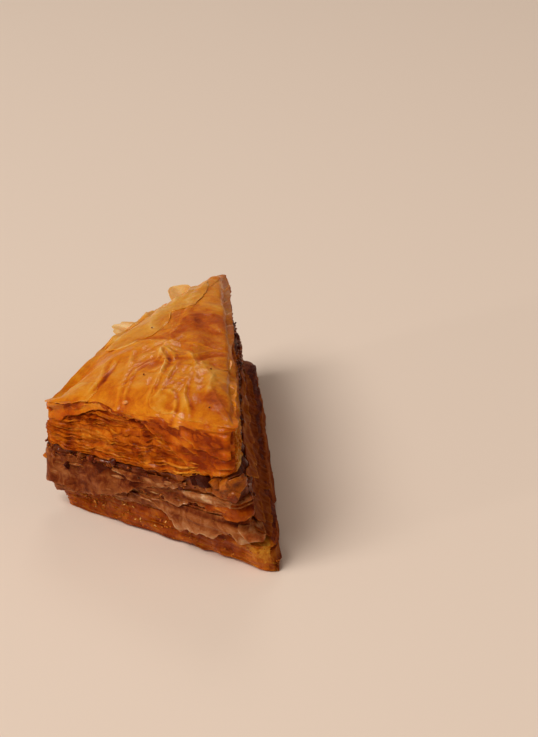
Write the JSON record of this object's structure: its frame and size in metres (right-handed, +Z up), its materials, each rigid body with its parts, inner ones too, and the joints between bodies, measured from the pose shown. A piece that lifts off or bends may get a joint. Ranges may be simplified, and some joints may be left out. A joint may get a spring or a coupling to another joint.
{
  "type": "triangular baklava piece",
  "caption": "Right-triangular piece of layered nut baklava: a soaked base, pale pastry layers with chopped nuts between, and a crisp, crowned, glazed top stack that leans to one side.",
  "frame": {"origin": "under the middle of the bounding box, in the plane that the piece rests on", "axes": "+Z up, +X along the short cut side from the square corner to the front corner, +Y along the long side from the square corner to the back corner"},
  "size_m": [0.073, 0.0864, 0.0393],
  "materials": {
    "baked_pastry": "thin baked leaves, golden to amber, glazed with syrup",
    "pale_pastry": "steamed leaves, pale grey-brown, half clear and moist",
    "nut_filling": "chopped walnuts bound with syrup, brown with darker bits",
    "soaked_pastry": "leaves soaked through with syrup, amber brown and glossy"
  },
  "bodies": {
    "root": {"bottom_pastry": "soaked_pastry", "lower_middle_pastry": "pale_pastry", "lower_filling": "nut_filling", "upper_middle_pastry": "pale_pastry", "upper_filling": "nut_filling", "top_pastry": "baked_pastry"}
  },
  "joints": []
}
